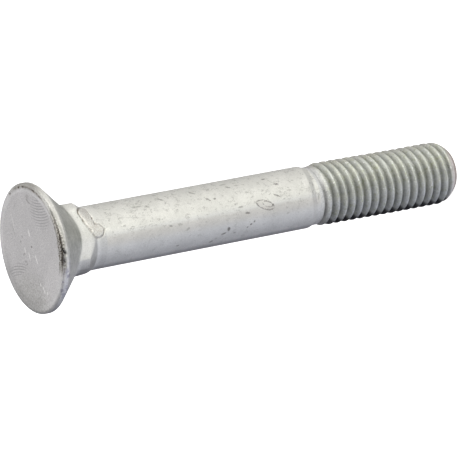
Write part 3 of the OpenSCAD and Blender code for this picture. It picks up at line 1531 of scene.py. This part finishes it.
@dataclass(frozen=True)
class ShankZinc(Zinc):
    """The plain shank: scars, fine creases, a blister with a dark outline, and painted light and
    shade along one side.
    """

    starts: ClassVar[float] = 18.6
    graininess: float = 0.1
    porousness: float = 0.35
    pink: Colour = (0.48, 0.43, 0.39)
    # Painted shade below the light's edge, a little warmer
    lower: Colour = (0.945, 0.925, 0.895)
    # A painted highlight ends along a line on the side, and below it lies painted shade, tinted a
    # little warmer
    painted_light_along: Stretch = Stretch(-103, -98, -94, -86)
    painted_shade_along: Stretch = Stretch(-128, -112, -107, -99)
    handled_side: Side = Side(SUNNY, 0.3, 0.7)
    # The creases run along the shank, so their pattern is squeezed round it
    crease_scale: tuple[float, float, float] = (1.2, 0.5, 1.0)
    crease_half: float = 0.015
    blister: Mark = Mark((-99.9, 46.4), (1.5, 3.4), 22)
    inner_blister: Mark = Mark((-99.4, 46.9), (0.85, 1.9), 22)
    scars: tuple[Mark, ...] = (
        Mark((-57.0, 20.5), (0.3, 1.9), 4, 0.55),
        Mark((-49.5, 25.9), (0.35, 1.1), 35, 0.7),
        Mark((-32.0, 25.6), (0.5, 0.8), 0, 0.4),
        Mark((-61.0, 22.6), (0.35, 0.8), 20, 0.45),
        Mark((-77.0, 18.6), (0.22, 4.0), 11, 0.2),
        Mark((-105.5, 26.0), (0.32, 0.6), 20, 0.65),
        Mark((-106.0, 28.0), (0.35, 0.9), 15, 0.4),
        Mark((-147.9, 27.6), (0.35, 0.6), 10, 0.7),
        Mark((-116.9, 29.5), (0.4, 0.8), -30, 0.45),
        Mark((-48.6, 32.7), (0.34, 1.1), 35, 0.65),
        Mark((-70.5, 35.1), (0.3, 1.1), 35, 0.75),
        Mark((-71.0, 36.4), (0.35, 0.5), 0, 0.8),
        Mark((-40.5, 39.7), (0.4, 1.2), 0, 0.5),
        Mark((-50.8, 40.3), (0.35, 1.0), 30, 0.7),
        Mark((-50.0, 42.2), (0.3, 0.9), 5, 0.4),
        Mark((-69.7, 43.4), (0.35, 0.7), 10, 0.45),
        Mark((-95.6, 41.1), (0.3, 1.0), 0, 0.6),
        Mark((-108.4, 42.4), (0.42, 0.9), 10, 0.85),
        Mark((-126.4, 43.8), (0.28, 0.4), -35, 0.9),
        Mark((-131.0, 43.1), (0.3, 0.5), -25, 0.9),
        Mark((-136.0, 42.4), (0.28, 0.34), -40, 0.8),
        Mark((-132.0, 38.3), (0.75, 0.55)),
        Mark((-140.5, 37.3), (0.35, 0.95), -15, 0.85),
        Mark((-142.9, 39.7), (0.3, 0.5), 0, 0.6),
        Mark((-155.0, 35.0), (0.4, 0.8), -15, 0.75),
        Mark((-149.0, 35.9), (0.3, 0.4), 0, 0.4),
        Mark((-87.0, 49.3), (0.24, 1.5), 30, 0.8),
        Mark((-64.5, 50.0), (0.34, 1.0), 10, 0.85),
        Mark((-46.8, 48.2), (0.42, 0.7), 0, 0.85),
        Mark((-122.5, 51.1), (0.3, 0.6), -25, 0.35),
        Mark((-104.4, 58.2), (1.1, 0.22), 10, 0.45),
    )

    def dress(self, site: Site, coat: Coat) -> None:
        """Adds the shank's layers.

        Args:
            site: where a point is.
            coat: the finish so far, which is added to.
        """
        # Painted light on the sunny side and painted shade on the shady side
        self.paint_light_and_shade(site, coat)
        # Painted highlight above the light's edge and painted shade below it
        coat.shade(site.along(self.painted_light_along), 1.035)
        coat.shade(site.along(self.painted_shade_along), self.lower)
        ground = site.unrolled(self.shank.radius)
        inputs = {"Vector": ground, "Scale": self.crease_scale}
        stretched = site.graph.node("ShaderNodeMapping", None, inputs)
        creases = (site.graph.noise(stretched, 1.0, 3.0, 0.65) - 0.5).bump(self.crease_half)
        creases = creases * site.noise(0.8).smooth(0.47, 0.6)
        handled = 0.25 + site.on(self.handled_side) * 0.3
        coat.paint(creases * handled, self.scar)
        per_degree = math.radians(self.shank.radius)
        scars = strongest(self.scars, ground, per_degree)
        coat.paint(scars * 0.85, self.scar)
        coat.sink(scars, 0.05)
        blister = self.blister.share(ground, per_degree)
        broken = site.noise(1.9).smooth(0.3, 0.54)
        coat.paint(blister * 0.2, self.pink)
        for share in (blister, self.inner_blister.share(ground, per_degree)):
            coat.paint((share - 0.5).bump(0.16) * broken * 0.9, self.scar)


@dataclass(frozen=True)
class ThreadZinc(Zinc):
    """The thread: greener crests, roots darkened by painted shade and dirt, painted light and shade
    by side, specks of dirt and a brown end.
    """

    graininess: float = 0.22
    glint: Colour = (0.88, 0.89, 0.88)
    shaded: Colour = (0.825, 0.83, 0.83)
    crest: Colour = (0.945, 0.98, 1.01)
    # Crest painted paler and yellower on the sunny side, as painted light
    painted_sunlit_crest: Colour = (0.925, 0.94, 0.835)
    moss: Colour = (0.83, 0.855, 0.69)
    brown: Colour = (0.84, 0.815, 0.81)
    # Roots darkened by painted shade and in part by dirt
    root: Colour = (0.46, 0.46, 0.46)
    # Painted shade on one side of the thread
    painted_side_shade: Colour = (0.10, 0.10, 0.115)
    rust: Colour = (0.34, 0.28, 0.24)
    pink: Colour = (0.50, 0.45, 0.42)
    # Painted light on one side of the point
    lip: Colour = (0.86, 0.81, 0.78)
    # Distances below the plain band
    rolled_from: Span = (0.1, 1.2)
    ridged_from: Span = (0.8, 2.8)
    painted_side_shade_from: Span = (0.9, 4.4)
    # Heights above the point
    end_from: Span = (2.1, 1.3)
    rim_from: Span = (1.25, 0.45)
    brown_side: Side = Side(0.0, 0.7, 1.0)
    shaded_side: Side = Side(-92.0, 0.9, 1.0)
    # Painted shade on the crests of the shady side
    shady_crest_side: Side = Side(SHADY, 0.84, 0.96)
    # Painted shade on one side of the thread
    painted_side_shade_side: Side = Side(SHADY, 0.95, 1.0)
    # Side of the point with painted light
    lit_point_side: Side = Side(-120.0, 0.45, 0.8)

    @property
    def starts(self) -> float:
        """Reach of the band's end."""
        return self.shank.band_end_depth + self.shank.band_radius

    def dress(self, site: Site, coat: Coat) -> None:
        """Adds the thread's layers.

        Args:
            site: where a point is.
            coat: the finish so far, which is added to.
        """
        below_band = site.depth - self.shank.band_end_depth
        rolled = below_band.smooth(*self.rolled_from)
        # Crests vary at random in tone and are painted paler on the sunny side, as painted light
        tone_and_sunlight = site.noise(0.5, 2.0, 0.6).smooth(0.4, 0.7) * 0.5
        sunny = site.towards(SUNNY)
        tone_and_sunlight = tone_and_sunlight + sunny.smooth(0.1, 0.8) * 0.6
        ridged = below_band.smooth(*self.ridged_from)
        coat.shade(ridged, site.graph.blend(tone_and_sunlight, self.crest, self.painted_sunlit_crest))
        coat.shade(rolled * site.on(self.brown_side), self.brown)
        uneven = site.noise(1.6, 3.0, 0.6) - 0.5
        coat.shade(ridged * uneven.smooth(0.06, 0.14) * 0.7, self.moss)
        # Painted shade in the roots, in part dirt, less on the sunny side and on the shady side
        deep = (site.zone(Zone.ROOT) + uneven * 0.4).smooth(0.0, 0.9)
        outer = site.on(self.shady_crest_side)
        spared = sunny.smooth(0.65, 0.9) * 0.22 + outer * 0.6
        coat.shade(deep * rolled * (1.0 - spared), self.root)
        # Painted shade on the crests of the shady side
        coat.shade(outer * rolled * (1.0 - deep) * 0.27, 0.0)
        coat.shade(rolled * site.on(self.shaded_side), self.shaded)
        glints = site.noise(1.8, 2.0, 0.6).smooth(0.64, 0.72) * deep.smooth(0.4, 0.1)
        coat.paint(glints * rolled * 0.6, self.glint)
        # Painted shade darkens one side of the thread, which is also made rougher
        painted_side_shade_share = site.on(self.painted_side_shade_side) * below_band.smooth(*self.painted_side_shade_from)
        coat.shade(painted_side_shade_share, self.painted_side_shade)
        coat.roughness = coat.roughness + painted_side_shade_share * 0.4
        specks = site.noise(2.4, 3.0, 0.7).smooth(0.62, 0.72) * rolled
        coat.paint(specks * 0.6, self.scar)
        coat.sink(specks + uneven, 0.05)
        # The point is pinkish, painted paler on one side as painted light, and its rim brown
        end = (self.length - site.depth).smooth(*self.end_from)
        coat.paint(end * (0.4 + uneven * 2.0), self.pink)
        coat.paint(end * site.on(self.lit_point_side) * (0.7 - uneven * 1.5), self.lip)
        rim = (self.length - site.depth).smooth(*self.rim_from)
        coat.paint(rim * (0.85 + uneven * 1.2), self.rust)
        coat.roughness = coat.roughness + rolled * 0.04


# ---------------------------------------------------------------- the studio


def direction(azimuth: float, elevation: float) -> Vector:
    """Unit vector that points so many degrees round the axis and above the horizon."""
    a, e = math.radians(azimuth), math.radians(elevation)
    return Vector((math.cos(e) * math.cos(a), math.cos(e) * math.sin(a), math.sin(e)))


@dataclass(frozen=True)
class Glow:
    """One soft light of the studio's dome. Its radii are degrees from its centre."""

    azimuth: float
    elevation: float
    colour: Colour
    power: float
    inner: float = 8.0
    outer: float = 48.0

    def light(self, graph: Graph, towards: Value) -> Value:
        """The light's colour.

        Args:
            graph: the world's tree.
            towards: unit vector of the direction that is looked in.

        Returns:
            The colour in each direction, black outside the glow.
        """
        outer, inner = (math.cos(math.radians(r)) for r in (self.outer, self.inner))
        aim = towards.dot(tuple(direction(self.azimuth, self.elevation)))
        light = graph.blend(aim.smooth(outer, inner) * self.power, (0.0, 0.0, 0.0), self.colour)
        light.socket.node.clamp_factor = False
        return light


@dataclass
class Studio:
    """Plain pale floor, soft dome of light and camera. The floor is in metres.

    The camera's place is given by where it looks, in the part's frame, and how far back it is.
    """

    floor_half: float = 3.0
    floor_tone: float = 0.8
    floor_light: float = 0.9
    base: Colour = (0.25, 0.245, 0.27)
    glows: tuple[Glow, ...] = (
        Glow(-64.9, 11.1, (1.0, 0.985, 0.96), 3.0),
        Glow(52.5, 47.0, (1.0, 1.0, 1.0), 1.08),
        Glow(-12.4, -2.2, (1.0, 0.98, 0.95), 0.72),
        Glow(-97.4, -11.1, (1.0, 1.0, 0.6), 0.26),
        Glow(177.6, -20.3, (0.74, 0.82, 1.04), 0.29),
        Glow(-129.8, -35.2, (0.86, 0.89, 1.03), 0.63),
    )
    azimuth: float = -98.4986
    elevation: float = 29.9253
    roll: float = 100.9272
    target: tuple[float, ...] = (-3.2013, 0.4784, 48.8459)
    distance: float = 739.258
    focal: float = 314.41
    sensor: float = 36.0
    # Metres
    clip: Span = (0.05, 20.0)

    def build(self) -> None:
        """Makes the floor, the light and the camera."""
        self.floor()
        self.dome()
        self.camera()

    def floor(self) -> None:
        """A plain pale floor under the point."""
        mesh = bpy.data.meshes.new("floor")
        h = self.floor_half
        mesh.from_pydata([(-h, -h, 0), (h, -h, 0), (h, h, 0), (-h, h, 0)], [], [(0, 1, 2, 3)])
        floor = place_object("floor", mesh)
        material = bpy.data.materials.new("pale_floor")
        material.use_nodes = True
        graph = Graph(material.node_tree)
        material.node_tree.nodes.clear()
        surface = {
            "Base Color": (self.floor_tone, self.floor_tone, self.floor_tone, 1.0),
            "Roughness": 0.9,
            "Specular IOR Level": 0.0,
            "Emission Color": (1.0, 1.0, 1.0, 1.0),
            "Emission Strength": self.floor_light,
        }
        graph.finish(surface)
        mesh.materials.append(material)
        floor.visible_diffuse = False
        floor.visible_glossy = False
        floor.visible_shadow = False

    def dome(self) -> None:
        """A soft dome with a few broad glows."""
        world = bpy.data.worlds.new("studio")
        bpy.context.scene.world = world
        world.use_nodes = True
        tree = world.node_tree
        tree.nodes.clear()
        graph = Graph(tree)
        towards = graph.node("ShaderNodeTexCoord", None, None, "Generated")
        light = graph.blend(0.0, self.base, self.base)
        for glow in self.glows:
            light = graph.total(light, glow.light(graph, towards))
        shader = graph.node("ShaderNodeBackground", None, {"Color": light, "Strength": 1.0})
        graph.node("ShaderNodeOutputWorld", None, {"Surface": shader})

    def camera(self) -> None:
        """The camera, which looks down on the bolt and is rolled so that the bolt lies across."""
        data = bpy.data.cameras.new("camera")
        data.sensor_width = self.sensor
        data.lens = self.focal
        data.clip_start, data.clip_end = self.clip
        camera = place_object("camera", data)
        back = direction(self.azimuth, self.elevation)
        turn = back.to_track_quat("Z", "Y").to_matrix().to_4x4()
        turn = turn @ Matrix.Rotation(-math.radians(self.roll), 4, "Z")
        place = (Vector(self.target) + back * self.distance) * MM
        camera.matrix_world = Matrix.Translation(place) @ turn
        bpy.context.scene.camera = camera


def main() -> None:
    """Builds the bolt and the studio, and reports each piece."""
    bpy.context.scene.view_settings.view_transform = "Standard"
    logging.basicConfig(level=logging.INFO)
    low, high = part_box(NODE)
    length = (high[2] - low[2]) / MM
    blank = Blank(length)
    shank = blank.shank
    finishes = [kind(length, shank) for kind in (FaceZinc, NeckZinc, ShankZinc, ThreadZinc)]
    join_height = length - shank.band_end_depth
    thread = Thread(length, shank.band_radius, join_height, blank.sides // 2)
    bolt = thread.roll(blank.build(), finishes)
    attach(bolt, "root")
    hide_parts(NODE)
    LOG.info("%s: %d points, %d faces", bolt.name, len(bolt.data.vertices), len(bolt.data.polygons))
    Studio().build()
    bpy.context.view_layer.update()


if __name__ == "__main__":
    main()
